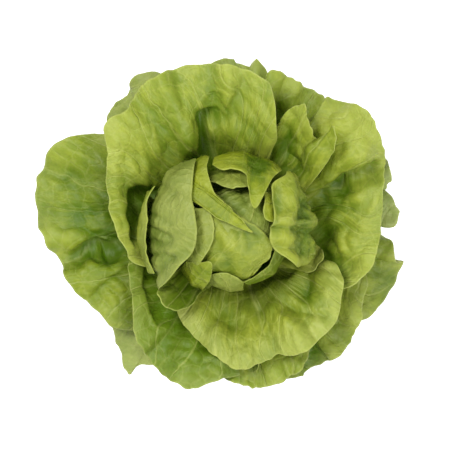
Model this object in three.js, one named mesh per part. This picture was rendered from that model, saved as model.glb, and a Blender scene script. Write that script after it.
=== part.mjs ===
// A head of butterhead lettuce, cut at the stem and standing on the cut face.
// Millimetres, +Z up. The origin is the centre of the cut face and +Z is the stem's axis.
// Every leaf is a thin closed blade: a fan of lines from the leaf's root on the stem to its rim.
// Spreading leaves lie in nested bowls, and the leaves of the heart lie on nested cups.
import * as THREE from "three";

// Driving dimensions
const STEM = { cutRadius: 15, taper: 0.13, height: 42, crown: 4, sides: 24 };
const ROOT_GAP = 0.6;
const ROOT_HALF_ANGLE = { spreading: 24, heart: 12 };
const BLADE = { root: 1.8, rim: 0.9 };
const BOWL = { inner: 20, reach: 100, floor: 4, rise: 15, rootStep: 2.4, rimStep: 8.4 };
const SWAY = { height: 3, lobes: 3, turn: 40, radius: 120 };
const CUP = { belly: 66, domeShare: 0.42, domeBase: 12, rootTop: 50.5, rootStep: 0.31 };
const LIFT_POWER = 2.2;
const FORM = { from: 30, full: 90, foldWidth: 13, curlPower: 6 };
const HEART_SPREAD = 0.7;

// Spreading leaves. layer counts the bowls upwards from the lowest leaf, azimuth is the root's place round
// the stem and midrib is the midrib's direction, both in degrees. arch, fold and curl are the leaf's own
// form, and rim runs anticlockwise seen from above as [x, y, lift above the bowl].
const SPREADING = [
  { name: "outer_leaf_upper_left_back", layer: 0, azimuth: 128, midrib: 126, arch: 2, fold: 2, curl: 3,
    rim: [[0, 46, 0], [-22, 92, 0], [-44, 108, 0], [-58, 113, -2], [-68, 119, 3], [-77, 117, 5],
      [-79, 108, 0], [-88, 101, -3], [-96, 92, 2], [-98, 78, 0], [-90, 46, 0], [-48, 8, 0]] },
  { name: "outer_leaf_lower_left_back", layer: 0, azimuth: 228, midrib: 230, arch: 2, fold: 2, curl: 4,
    rim: [[-46, -4, 0], [-88, -32, 0], [-96, -56, 0], [-93, -74, 2], [-90, -86, -2], [-87, -98, 0],
      [-80, -107, -6], [-72, -101, 0], [-62, -101, 2], [-34, -96, 0], [-12, -76, 0], [0, -42, 0]] },
  { name: "outer_leaf_right_low", layer: 0, azimuth: 338, midrib: 338, arch: 2, fold: 2, curl: 3,
    rim: [[16, -42, 0], [58, -78, 0], [80, -76, 0], [95, -67, 0], [105, -61, 3], [115, -51, -1],
      [122, -40, 2], [125, -30, 0], [127, -22, -2], [120, -18, 4], [119, -9, 6], [113, -4, 3],
      [98, 8, 0], [46, 16, 0]] },
  { name: "outer_leaf_top_back", layer: 1.1, azimuth: 88, midrib: 90, arch: 2, fold: 1, curl: 2,
    rim: [[32, 34, 0], [44, 76, 0], [32, 106, 0], [20, 115, 0], [15, 128, 6], [11, 122, -2],
      [6, 123, 1], [-1, 126, 3], [-8, 129, 0], [-15, 126, -2], [-34, 112, 0], [-46, 80, 0],
      [-26, 36, 0]] },
  { name: "outer_leaf_right_back", layer: 1.1, azimuth: 16, midrib: 18, arch: 1, fold: 2, curl: 2,
    rim: [[40, -3, 0], [92, 2, 0], [112, 5, 0], [121, 6, 2], [123, 14, -2], [118, 23, 0],
      [112, 32, -2], [113, 41, 1], [116, 45, 3], [114, 54, 0], [102, 66, 0], [74, 60, 0], [34, 32, 0]] },
  { name: "outer_leaf_lower_right_back", layer: 1.3, azimuth: 316, midrib: 312, arch: 2, fold: 2, curl: 3,
    rim: [[2, -44, 0], [16, -90, 0], [26, -106, 0], [38, -111, -2], [50, -109, 2], [60, -103, -2],
      [72, -98, 3], [82, -90, -1], [88, -80, 2], [94, -67, 4], [97, -50, 0], [99, -35, 2],
      [86, -24, 0], [42, -9, 0]] },
  { name: "outer_leaf_left", layer: 1.9, azimuth: 184, midrib: 186, arch: 3, fold: 4, curl: 5,
    rim: [[-32, 36, 0], [-68, 66, 0], [-98, 73, 3], [-123, 70, 0], [-140, 58, -4], [-150, 38, -6],
      [-150, 15, -3], [-143, -5, 2], [-133, -18, -6], [-126, -35, 3], [-113, -50, -3], [-100, -63, 3],
      [-92, -72, 0], [-75, -76, -2], [-52, -62, 0], [-26, -34, 0]] },
  { name: "outer_leaf_upper_right", layer: 2.4, azimuth: 62, midrib: 62, arch: 1, fold: 2, curl: 2,
    rim: [[44, 18, 0], [76, 58, 0], [76, 84, 0], [68, 98, 2], [60, 107, -2], [48, 112, 3],
      [38, 118, -1], [33, 121, 3], [27, 122, 5], [23, 110, 2], [12, 96, 0], [2, 72, 0], [0, 42, 0]] },
  { name: "outer_leaf_bottom", layer: 2.5, azimuth: 280, midrib: 280, arch: 2, fold: 2, curl: 3,
    rim: [[-24, -36, 0], [-44, -76, 0], [-30, -102, 0], [-8, -111, 0], [5, -115, 3], [12, -117, -1],
      [28, -115, 2], [40, -109, -2], [48, -105, 4], [54, -90, 0], [52, -66, 0], [32, -32, 0]] },
  { name: "leaf_right", layer: 3.6, azimuth: 20, midrib: 27, arch: 3, fold: 8, curl: 4,
    rim: [[34, -24, 0], [62, -40, 0], [84, -42, 2], [97, -32, -3], [104, -20, 0], [108, -3, 3],
      [110, 20, 6], [111, 38, 4], [112, 50, -6], [111, 62, 2], [107, 74, 5], [100, 88, 0], [90, 95, 3],
      [78, 99, -2], [67, 100, 4], [54, 88, 0], [34, 62, 0], [18, 38, 0]] },
  { name: "leaf_lower_left", layer: 3.7, azimuth: 244, midrib: 236, arch: 3, fold: 4, curl: 3,
    rim: [[-36, -9, 0], [-80, -22, 0], [-79, -45, 4], [-78, -62, 5], [-75, -80, 3], [-68, -92, 3],
      [-60, -104, -2], [-45, -113, 2], [-30, -116, -4], [-12, -111, 2], [3, -109, -2], [17, -101, 2],
      [18, -68, 0], [10, -36, 0]] },
  { name: "leaf_inner_upper_right", layer: 5.2, azimuth: 50, midrib: 58, arch: 0, fold: 6, curl: 0,
    rim: [[42, 14, 0], [54, 33, 4], [63, 45, 8], [70, 58, 10], [74, 69, 8], [73, 79, 6], [67, 74, 2],
      [61, 70, -2], [57, 77, 4], [53, 86, 10], [51, 94, 12], [43, 93, 6], [35, 87, 2], [30, 79, 0],
      [20, 62, 0], [8, 42, 0]] },
  { name: "leaf_lower_right", layer: 4.9, azimuth: 294, midrib: 285, arch: 7, fold: 2, curl: 5,
    rim: [[-20, -30, 0], [-38, -50, 0], [-43, -62, 1], [-32, -78, -1], [-18, -90, -2], [0, -101, -4],
      [12, -101, -3], [22, -97, 0], [32, -92, 3], [42, -93, -1], [55, -86, -3], [68, -75, -5],
      [76, -65, -4], [79, -50, -2], [80, -35, 1], [76, -27, 4], [62, -21, 1], [48, -16, 0], [34, -8, 0]] },
  { name: "leaf_upper_left", layer: 6.2, azimuth: 128, midrib: 106, arch: -4, fold: 4, curl: 5,
    rim: [[22, 40, 0], [26, 62, 0], [30, 78, 2], [29, 96, 2], [24, 110, 2], [12, 119, -2],
      [-10, 125, 0], [-40, 124, -3], [-56, 117, 0], [-70, 109, -4], [-78, 99, -6], [-82, 90, -2],
      [-92, 86, -6], [-97, 75, -8], [-96, 58, -6], [-97, 40, -8], [-95, 20, -5], [-90, 0, -5],
      [-85, -12, -2], [-78, -22, -1], [-67, -27, 0], [-42, -18, 0]] },
  { name: "inner_leaf_lower_left", layer: 7.4, azimuth: 236, midrib: 236, arch: 0, fold: 0, curl: 0,
    rim: [[-36, -22, 0], [-52, -36, 3], [-60, -47, 8], [-55, -54, 10], [-47, -57, 10], [-36, -55, 10],
      [-29, -48, 8], [-22, -43, 4], [-10, -36, 0]] },
  { name: "inner_leaf_lower_right", layer: 6.4, azimuth: 334, midrib: 334, arch: 3, fold: 2, curl: 2,
    rim: [[24, -26, 0], [44, -28, 3], [53, -30, 6], [62, -24, 5], [66, -16, 3], [58, -8, 0],
      [38, -2, 0]] },
];

// Leaves of the heart. radius is the cup's half width, and rim runs anticlockwise as
// [x, y, lift out of the cup].
const HEART = [
  { name: "heart_leaf_outer_left", radius: 72.2, azimuth: 184,
    rim: [[-60, 34, 0], [-64, 25, 0], [-67.5, 11, 0], [-69, 0, 0], [-68.5, -11, 0], [-65.5, -22, 0],
      [-61, -31, 0]] },
  { name: "heart_leaf_left", radius: 66, azimuth: 176,
    rim: [[-30, 55, 0], [-30.5, 43, 2], [-33, 30, 0], [-31, 18, 1], [-28.5, 5, 1], [-29.5, -5, 0],
      [-32, -14, 0], [-40, -24, 2], [-47, -33, 4], [-52.5, -39, 7]] },
  { name: "heart_leaf_tongue", radius: 62, azimuth: 140,
    rim: [[-20, 56, 0], [-21.5, 48, 0], [-18, 34, 0], [-15, 27, -1], [-4, 17, -3], [5, 8.5, -4],
      [15, -0.5, -6], [3, 3.5, -5], [-10, 9.5, -4], [-22, 17.5, -2], [-34, 24, -1], [-48, 25, 0]] },
  { name: "heart_leaf_top", radius: 59.4, azimuth: 84,
    rim: [[34, 46, 0], [27, 40, 1], [21, 29, 0], [15, 19, -3], [10, 32, -1], [7, 43, 1], [-3, 45.5, 2],
      [-11, 46, 0], [-18, 51, -1]] },
  { name: "heart_leaf_right", radius: 58, azimuth: 8,
    rim: [[47, -26, 0], [38, -21, 2], [30, -14, -1], [25, -5, 0], [26, 4, 2], [29, 14, -1],
      [27, 26, 1], [27, 36, 0], [34, 40, 1], [40, 40, 0]] },
  { name: "heart_leaf_inner_left", radius: 46, azimuth: 186,
    rim: [[-36, 24, 0], [-28, 17, 2], [-21, 17, 0], [-17, 6, -1], [-18, -8, 0], [-24, -20, 2],
      [-32, -28, 0]] },
  { name: "heart_leaf_inner_right", radius: 45, azimuth: 34,
    rim: [[42, 2, 0], [30, 6, 1], [21, 10, 0], [20, 22, 2], [20, 32, 0], [22, 38, 0]] },
  { name: "heart_leaf_inner_top", radius: 48.6, azimuth: 100,
    rim: [[16, 40, 0], [10, 36, 0], [0, 37, 1], [-8, 37, 0], [-16, 38, 1], [-22, 38, 0]] },
  { name: "heart_leaf_lip", radius: 50, azimuth: 230,
    rim: [[-38, -22, 0], [-28, -22.5, 0], [-18, -22, 1], [-18, -29, 0], [-20, -37, 0]] },
  { name: "heart_leaf_low", radius: 42.5, azimuth: 264,
    rim: [[-21, -32, 0], [-13, -30, 1], [-6, -31, 0], [1, -32, 1], [6, -38, 0]] },
  { name: "heart_leaf_low_right", radius: 40.5, azimuth: 312,
    rim: [[5, -37, 0], [12, -34, 0], [20, -28.5, 0], [26.5, -21, 0], [29.5, -12, 0], [31, -2, 0]] },
  { name: "heart_leaf_cap", radius: 37, azimuth: 236,
    rim: [[-26, 22, 0], [-17, 28, 2], [-9, 22, 2], [-1, 14, 2], [9, 7, 3], [18, 1, 3], [24, -8, 3],
      [24, -16, 2], [16, -28, 1]] },
  { name: "heart_leaf_core_back", radius: 33.5, azimuth: 62,
    rim: [[26, -14, 0], [12, -16, 0], [-2, -10, 0], [-10, 0, 0], [-18, 8, 0], [-24, 18, 0]] },
  { name: "heart_leaf_core", radius: 26, azimuth: 236,
    rim: [[-18, 12, 0], [-6, 10, 1], [4, 6, 0], [10, -2, 1], [12, -14, 0]] },
];

const GRID = { spreading: [7, 24], small: [5, 12], heart: [7, 12] };
const SMALL_LEAF_POINTS = 9;

const radians = THREE.MathUtils.degToRad;
const lerp = THREE.MathUtils.lerp;
const stemRadius = (z) => STEM.cutRadius - STEM.taper * z;

function finish(color, roughness) {
  return new THREE.MeshStandardMaterial({ color, roughness, metalness: 0 });
}

// The stub of stem: a tapering core from the cut face to a low crown.
function stem() {
  const top = STEM.height + STEM.crown;
  const profile = [
    new THREE.Vector2(0, 0),
    new THREE.Vector2(STEM.cutRadius, 0),
    new THREE.Vector2(stemRadius(STEM.height), STEM.height),
    new THREE.Vector2(stemRadius(STEM.height) * 0.6, top - 1),
    new THREE.Vector2(0, top),
  ];
  const body = new THREE.LatheGeometry(profile, STEM.sides).rotateX(Math.PI / 2);
  return named("stem", body, finish(0xe3e8c4, 0.55));
}

// Height of a bowl above the surface the head stands on: each layer starts a step higher on the stem
// and opens a larger step higher at its rim, so that no two bowls cross.
function bowlHeight(layer, x, y) {
  const radius = Math.hypot(x, y);
  const t = THREE.MathUtils.clamp((radius - BOWL.inner) / BOWL.reach, 0, 1);
  const open = t * t * (3 - 2 * t);
  const turn = SWAY.lobes * (Math.atan2(y, x) - radians(SWAY.turn));
  const sway = SWAY.height * Math.sin(turn) * (radius / SWAY.radius) ** 2;
  return BOWL.floor + BOWL.rootStep * layer + (BOWL.rise + BOWL.rimStep * layer) * open + sway;
}

// A leaf's own form over its bowl, which grows with the distance from the stem: an arch between root and
// rim, a valley along the midrib and a rim that curls down.
function leafForm(leaf, u, x, y) {
  const turn = radians(leaf.midrib);
  const aside = y * Math.cos(turn) - x * Math.sin(turn);
  const share = THREE.MathUtils.smoothstep(Math.hypot(x, y), FORM.from, FORM.full);
  const valley = Math.exp(-((aside / FORM.foldWidth) ** 2));
  return share * (leaf.arch * 4 * u * (1 - u) - leaf.fold * valley - leaf.curl * u ** FORM.curlPower);
}

// A point of a spreading leaf: straight out in plan from the root to the rim, at its bowl's height plus
// the rim's lift, which fades towards the root.
function spreadingPoint(leaf, u, v, rimPoint) {
  const side = radians(leaf.azimuth + ROOT_HALF_ANGLE.spreading * (2 * v - 1));
  const root = stemRadius(BOWL.floor + BOWL.rootStep * leaf.layer) + ROOT_GAP;
  const x = lerp(root * Math.cos(side), rimPoint.x, u);
  const y = lerp(root * Math.sin(side), rimPoint.y, u);
  const z = bowlHeight(leaf.layer, x, y) + leafForm(leaf, u, x, y) + rimPoint.z * u ** LIFT_POWER;
  return new THREE.Vector3(x, y, z);
}

// A point of a heart leaf: up the outside of its cup from the root, over the belly and in under the dome.
// along is the angle up the cup in the leaf's middle plane, across is the angle to either side of it.
function heartPoint(leaf, u, v, rimPoint) {
  const turn = radians(leaf.azimuth);
  const ahead = rimPoint.x * Math.cos(turn) + rimPoint.y * Math.sin(turn);
  const aside = rimPoint.y * Math.cos(turn) - rimPoint.x * Math.sin(turn);
  const rimAcross = Math.asin(aside / leaf.radius);
  const rimAlong = Math.PI - Math.asin(ahead / (leaf.radius * Math.cos(rimAcross)));
  const along = rimAlong * u;
  const across = lerp(radians(ROOT_HALF_ANGLE.heart) * (2 * v - 1), rimAcross, u ** HEART_SPREAD);
  const rootHeight = CUP.rootTop - CUP.rootStep * leaf.radius;
  const rootRadius = stemRadius(rootHeight) + ROOT_GAP;
  const dome = CUP.domeBase + CUP.domeShare * leaf.radius;
  const upper = along > Math.PI / 2;
  const width = upper ? leaf.radius : lerp(rootRadius, leaf.radius, Math.sin(along));
  const forward = width * Math.cos(across) * (upper ? Math.sin(along) : 1);
  const sideways = width * Math.sin(across);
  const height = upper
    ? CUP.belly - dome * Math.cos(across) * Math.cos(along)
    : lerp(rootHeight, CUP.belly, 1 - Math.cos(along));
  const point = new THREE.Vector3(
    forward * Math.cos(turn) - sideways * Math.sin(turn),
    forward * Math.sin(turn) + sideways * Math.cos(turn),
    height,
  );
  const outward = point.clone().sub(new THREE.Vector3(0, 0, CUP.belly)).normalize();
  return point.addScaledVector(outward, rimPoint.z * u ** LIFT_POWER);
}

// A closed blade from a grid of points: both faces carry the same triangles, half the thickness to each
// side of the grid along its normal, and a strip joins them all round.
function blade(grid) {
  const rows = grid.length - 1;
  const columns = grid[0].length - 1;
  const at = (i, j) => grid[THREE.MathUtils.clamp(i, 0, rows)][THREE.MathUtils.clamp(j, 0, columns)];
  const positions = [];
  for (const face of [1, -1]) {
    for (let i = 0; i <= rows; i++) {
      const half = lerp(BLADE.root, BLADE.rim, Math.sqrt(i / rows)) / 2;
      for (let j = 0; j <= columns; j++) {
        const down = at(i + 1, j).clone().sub(at(i - 1, j));
        const along = at(i, j + 1).clone().sub(at(i, j - 1));
        const normal = down.cross(along).normalize();
        positions.push(...at(i, j).clone().addScaledVector(normal, face * half).toArray());
      }
    }
  }
  const stride = columns + 1;
  const under = (rows + 1) * stride;
  const index = [];
  const quad = (a, b, c, d) => index.push(a, b, c, a, c, d);
  for (let i = 0; i < rows; i++) {
    for (let j = 0; j < columns; j++) {
      const a = i * stride + j;
      const b = a + stride;
      const c = b + 1;
      const d = a + 1;
      quad(a, b, c, d);
      index.push(a + under, c + under, b + under, a + under, d + under, c + under);
    }
  }
  for (let j = 0; j < columns; j++) {
    quad(j, j + 1, j + 1 + under, j + under);
    const rim = rows * stride + j;
    quad(rim + 1, rim, rim + under, rim + 1 + under);
  }
  for (let i = 0; i < rows; i++) {
    const left = i * stride;
    const right = left + columns;
    quad(left + stride, left, left + under, left + stride + under);
    quad(right, right + stride, right + stride + under, right + under);
  }
  const geometry = new THREE.BufferGeometry();
  geometry.setAttribute("position", new THREE.Float32BufferAttribute(positions, 3));
  geometry.setIndex(index);
  geometry.computeVertexNormals();
  return geometry;
}

// One leaf: its rim is a smooth curve through the listed points, and every line of the fan ends on it.
function leafMesh(leaf, pointOf, [rows, columns], color) {
  const curve = new THREE.CatmullRomCurve3(leaf.rim.map((p) => new THREE.Vector3(...p)));
  const rim = curve.getSpacedPoints(columns);
  const grid = [];
  for (let i = 0; i <= rows; i++) {
    grid.push(rim.map((rimPoint, j) => pointOf(leaf, i / rows, j / columns, rimPoint)));
  }
  return named(leaf.name, blade(grid), finish(color, 0.45));
}

function named(name, geometry, material) {
  const mesh = new THREE.Mesh(geometry, material);
  mesh.name = name;
  return mesh;
}

const lettuce = new THREE.Group();
lettuce.name = "lettuce_head";
lettuce.add(stem());
for (const leaf of SPREADING) {
  const grid = leaf.rim.length > SMALL_LEAF_POINTS ? GRID.spreading : GRID.small;
  lettuce.add(leafMesh(leaf, spreadingPoint, grid, 0x86a63a));
}
for (const leaf of HEART) {
  lettuce.add(leafMesh(leaf, heartPoint, GRID.heart, 0xa4b950));
}

export default lettuce;
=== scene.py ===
"""A head of butterhead lettuce on a pale floor, seen from straight above.

Every leaf is a fan of lines from its root on the stem to its rim. It is worked out first as the plain
blade of the frame, and then gets its relief, folds, veins and waved rim. Lengths are in millimetres until
a mesh is made, and those of the floor, the lamps and the camera are in metres.
"""
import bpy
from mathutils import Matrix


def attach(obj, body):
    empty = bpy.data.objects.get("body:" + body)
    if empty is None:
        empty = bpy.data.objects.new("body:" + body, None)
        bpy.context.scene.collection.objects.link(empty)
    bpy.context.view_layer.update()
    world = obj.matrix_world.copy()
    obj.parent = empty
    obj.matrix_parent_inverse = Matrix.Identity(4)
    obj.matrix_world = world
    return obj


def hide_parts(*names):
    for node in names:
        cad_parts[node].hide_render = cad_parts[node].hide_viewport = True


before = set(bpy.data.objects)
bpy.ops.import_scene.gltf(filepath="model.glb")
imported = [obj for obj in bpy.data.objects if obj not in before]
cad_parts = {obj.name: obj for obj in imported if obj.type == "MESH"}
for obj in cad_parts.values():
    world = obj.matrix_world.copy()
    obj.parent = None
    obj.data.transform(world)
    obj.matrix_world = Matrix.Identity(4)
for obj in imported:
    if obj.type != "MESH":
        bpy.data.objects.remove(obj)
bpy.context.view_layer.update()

from types import SimpleNamespace

import bpy
import numpy as np
from mathutils import Vector

MM = 0.001
TINY = 1e-9

# The stem, a cone that narrows upwards, and how far off it and how wide in degrees a leaf's root is.
STEM_CUT_RADIUS = 15
STEM_TAPER = 0.13
ROOT_GAP = 0.6
ROOT_HALF_ANGLE = {"spreading": 24, "heart": 12}

# The bowls that spreading leaves lie on: level as far as BOWL_INNER, then rising over BOWL_REACH. Each
# layer starts one root step higher on the stem and rises by one rim step more. The rims also sway up and
# down round the head.
BOWL_INNER = 20
BOWL_REACH = 100
BOWL_FLOOR = 4
BOWL_RISE = 15
BOWL_ROOT_STEP = 2.4
BOWL_RIM_STEP = 8.4
SWAY_HEIGHT = 3
SWAY_LOBES = 3
SWAY_TURN = 40
SWAY_RADIUS = 120

# A spreading leaf's own form, which grows between two distances from the middle of the head, and the
# power by which the lift of any rim fades towards the root.
FORM_FROM = 30
FORM_FULL = 90
FOLD_WIDTH = 13
CURL_POWER = 6
LIFT_POWER = 2.2

# The cups that leaves of the heart grow round. All are widest at one height, and a wider one has a higher
# dome and a lower root. A leaf widens from its root by a power, and its veins start below the root.
CUP_BELLY = 66
CUP_DOME_BASE = 12
CUP_DOME_SHARE = 0.42
CUP_ROOT_TOP = 50.5
CUP_ROOT_STEP = 0.31
HEART_SPREAD = 0.7
VEIN_START = 12

# Steps of a leaf's grid from root to rim, which get closer together outwards by a power, and along the rim.
GRID = {"spreading": (68, 168), "heart": (44, 84)}
ROW_POWER = 1.2

# Points at which a rim's curve is measured
CURVE_STEPS = 600

# The plane waves that make up a noise: how many, and how far their wave numbers spread about the middle one.
WAVES = 7
WAVE_SPREAD = (0.7, 1.4)

# Which face of a leaf's grid is seen from above. Hollows get painted shade as a deeper green, full at
# the depth given and as strong as the share given.
FACE_ABOVE = {"spreading": 1, "heart": -1}
HOLLOW_SHADE_FULL = {"spreading": 7, "heart": 3}
HOLLOW_SHADE_SHARE = 0.6

# Where along a leaf, from 0 at its root to 1 at its rim, something sets in and where it is full.
GROWN = (0.22, 0.6)
RIM = (0.72, 1)
OVER_THE_CUP = (0.4, 0.55)
GROOVE_GROWN = (0, 0.25)
KEEL_GROWN = (0, 0.15)
# CORE_SHADE_FADE is where the painted shade towards the root fades out.
CORE_SHADE_FADE = (0.4, 1)
# SHEEN_GROWN is where the painted sheen at the rim grows in.
SHEEN_GROWN = (0.5, 0.95)

# The blade and its midrib
RIM_THICKNESS = 0.6
ROOT_EXTRA = 0.9
KEEL_DEPTH = 2.4
KEEL_WIDTH = 3.5
GROOVE_DEPTH = 1.5
GROOVE_WIDTH = 5

# The waves of a leaf: lengths in millimetres, or in degrees round the root for pleats, and shares.
SCALLOP_LENGTH = 9
LONG_SCALLOP_LENGTH = 17
VEIN_BEND = 0.22
VEIN_BEND_LENGTH = 60
SWELL_POWER = 0.75
SWELL_SINK = 0.6
BLISTER_CALM = 0.7
PATCH_LENGTH = 50
PATCH_MOST = 1.4
WRINKLE_CALM = 0.5
FINE_WRINKLE = 0.7
FINE_WRINKLE_LENGTH = 0.45
PLEAT_ANGLE = 40
FINE_PLEAT = 0.6
FINE_PLEAT_ANGLE = 16
PLEAT_STRETCH = 8
PLEAT_POWER = 1.5
RUFFLE_DRIFT = 2.4
RUFFLE_DRIFT_LENGTH = 80
RUFFLE_SIZE_LENGTH = 90
RUFFLE_POWER = 1.5
CREASE_POWER = 1.5

# What each kind of wave adds to its leaf's seed, and how far apart the skin's pattern is from seed to seed.
DRAW = dict(veins=0, billows=2, ruffle_drift=3, ruffle_size=4, wrinkles=5, pleats=6, scallops=7,
            long_scallops=8, patches=9, fine_wrinkles=10, fine_pleats=11)
SEED_STEP = 10
FIRST_HEART_SEED = 41
PATTERN_STEP = 100

# Spreading leaves: layer counts the bowls from the lowest, and azimuth is the root's place round the stem
# and midrib the way that the leaf points, in degrees. arch, fold and curl are heights of the leaf's own
# form. rim runs anticlockwise seen from above, as x, y and lift above the bowl.
SPREADING = [
    dict(name="outer_leaf_upper_left_back", layer=0, azimuth=128, midrib=126, arch=2, fold=2, curl=3,
         rim=[(0, 46, 0), (-22, 92, 0), (-44, 108, 0), (-58, 113, -2), (-68, 119, 3), (-77, 117, 5),
              (-79, 108, 0), (-88, 101, -3), (-96, 92, 2), (-98, 78, 0), (-90, 46, 0), (-48, 8, 0)]),
    dict(name="outer_leaf_lower_left_back", layer=0, azimuth=228, midrib=230, arch=2, fold=2, curl=4,
         rim=[(-46, -4, 0), (-88, -32, 0), (-96, -56, 0), (-93, -74, 2), (-90, -86, -2), (-87, -98, 0),
              (-80, -107, -6), (-72, -101, 0), (-62, -101, 2), (-34, -96, 0), (-12, -76, 0), (0, -42, 0)]),
    dict(name="outer_leaf_right_low", layer=0, azimuth=338, midrib=338, arch=2, fold=2, curl=3,
         rim=[(16, -42, 0), (58, -78, 0), (80, -76, 0), (95, -67, 0), (105, -61, 3), (115, -51, -1),
              (122, -40, 2), (125, -30, 0), (127, -22, -2), (120, -18, 4), (119, -9, 6), (113, -4, 3),
              (98, 8, 0), (46, 16, 0)]),
    dict(name="outer_leaf_top_back", layer=1.1, azimuth=88, midrib=90, arch=2, fold=1, curl=2,
         rim=[(32, 34, 0), (44, 76, 0), (32, 106, 0), (20, 115, 0), (15, 128, 6), (11, 122, -2), (6, 123, 1),
              (-1, 126, 3), (-8, 129, 0), (-15, 126, -2), (-34, 112, 0), (-46, 80, 0), (-26, 36, 0)]),
    dict(name="outer_leaf_right_back", layer=1.1, azimuth=16, midrib=18, arch=1, fold=2, curl=2,
         rim=[(40, -3, 0), (92, 2, 0), (112, 5, 0), (121, 6, 2), (123, 14, -2), (118, 23, 0), (112, 32, -2),
              (113, 41, 1), (116, 45, 3), (114, 54, 0), (102, 66, 0), (74, 60, 0), (34, 32, 0)]),
    dict(name="outer_leaf_lower_right_back", layer=1.3, azimuth=316, midrib=312, arch=2, fold=2, curl=3,
         rim=[(2, -44, 0), (16, -90, 0), (26, -106, 0), (38, -111, -2), (50, -109, 2), (60, -103, -2),
              (72, -98, 3), (82, -90, -1), (88, -80, 2), (94, -67, 4), (97, -50, 0), (99, -35, 2),
              (86, -24, 0), (42, -9, 0)]),
    dict(name="outer_leaf_left", layer=1.9, azimuth=184, midrib=186, arch=3, fold=4, curl=5,
         rim=[(-32, 36, 0), (-68, 66, 0), (-98, 73, 3), (-123, 70, 0), (-140, 58, -4), (-150, 38, -6),
              (-150, 15, -3), (-143, -5, 2), (-133, -18, -6), (-126, -35, 3), (-113, -50, -3),
              (-100, -63, 3), (-92, -72, 0), (-75, -76, -2), (-52, -62, 0), (-26, -34, 0)]),
    dict(name="outer_leaf_upper_right", layer=2.4, azimuth=62, midrib=62, arch=1, fold=2, curl=2,
         rim=[(44, 18, 0), (76, 58, 0), (76, 84, 0), (68, 98, 2), (60, 107, -2), (48, 112, 3), (38, 118, -1),
              (33, 121, 3), (27, 122, 5), (23, 110, 2), (12, 96, 0), (2, 72, 0), (0, 42, 0)]),
    dict(name="outer_leaf_bottom", layer=2.5, azimuth=280, midrib=280, arch=2, fold=2, curl=3,
         rim=[(-24, -36, 0), (-44, -76, 0), (-30, -102, 0), (-8, -111, 0), (5, -115, 3), (12, -117, -1),
              (28, -115, 2), (40, -109, -2), (48, -105, 4), (54, -90, 0), (52, -66, 0), (32, -32, 0)]),
    dict(name="leaf_right", layer=3.6, azimuth=20, midrib=27, arch=3, fold=8, curl=4,
         rim=[(34, -24, 0), (62, -40, 0), (84, -42, 2), (97, -32, -3), (104, -20, 0), (108, -3, 3),
              (110, 20, 6), (111, 38, 4), (112, 50, -6), (111, 62, 2), (107, 74, 5), (100, 88, 0),
              (90, 95, 3), (78, 99, -2), (67, 100, 4), (54, 88, 0), (34, 62, 0), (18, 38, 0)]),
    dict(name="leaf_lower_left", layer=3.7, azimuth=244, midrib=236, arch=3, fold=4, curl=3,
         rim=[(-36, -9, 0), (-80, -22, 0), (-79, -45, 4), (-78, -62, 5), (-75, -80, 3), (-68, -92, 3),
              (-60, -104, -2), (-45, -113, 2), (-30, -116, -4), (-12, -111, 2), (3, -109, -2), (17, -101, 2),
              (18, -68, 0), (10, -36, 0)]),
    dict(name="leaf_inner_upper_right", layer=5.2, azimuth=50, midrib=58, arch=0, fold=6, curl=0,
         rim=[(42, 14, 0), (54, 33, 4), (63, 45, 8), (70, 58, 10), (74, 69, 8), (73, 79, 6), (67, 74, 2),
              (61, 70, -2), (57, 77, 4), (53, 86, 10), (51, 94, 12), (43, 93, 6), (35, 87, 2), (30, 79, 0),
              (20, 62, 0), (8, 42, 0)]),
    dict(name="leaf_lower_right", layer=4.9, azimuth=294, midrib=285, arch=7, fold=2, curl=5,
         rim=[(-20, -30, 0), (-38, -50, 0), (-43, -62, 1), (-32, -78, -1), (-18, -90, -2), (0, -101, -4),
              (12, -101, -3), (22, -97, 0), (32, -92, 3), (42, -93, -1), (55, -86, -3), (68, -75, -5),
              (76, -65, -4), (79, -50, -2), (80, -35, 1), (76, -27, 4), (62, -21, 1), (48, -16, 0),
              (34, -8, 0)]),
    dict(name="leaf_upper_left", layer=6.2, azimuth=128, midrib=106, arch=-4, fold=4, curl=5,
         rim=[(22, 40, 0), (26, 62, 0), (30, 78, 2), (29, 96, 2), (24, 110, 2), (12, 119, -2), (-10, 125, 0),
              (-40, 124, -3), (-56, 117, 0), (-70, 109, -4), (-78, 99, -6), (-82, 90, -2), (-92, 86, -6),
              (-97, 75, -8), (-96, 58, -6), (-97, 40, -8), (-95, 20, -5), (-90, 0, -5), (-85, -12, -2),
              (-78, -22, -1), (-67, -27, 0), (-42, -18, 0)]),
    dict(name="inner_leaf_lower_left", layer=7.4, azimuth=236, midrib=236, arch=0, fold=0, curl=0,
         rim=[(-36, -22, 0), (-52, -36, 3), (-60, -47, 8), (-55, -54, 10), (-47, -57, 10), (-36, -55, 10),
              (-29, -48, 8), (-22, -43, 4), (-10, -36, 0)]),
    dict(name="inner_leaf_lower_right", layer=6.4, azimuth=334, midrib=334, arch=3, fold=2, curl=2,
         rim=[(24, -26, 0), (44, -28, 3), (53, -30, 6), (62, -24, 5), (66, -16, 3), (58, -8, 0),
              (38, -2, 0)]),
]

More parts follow.
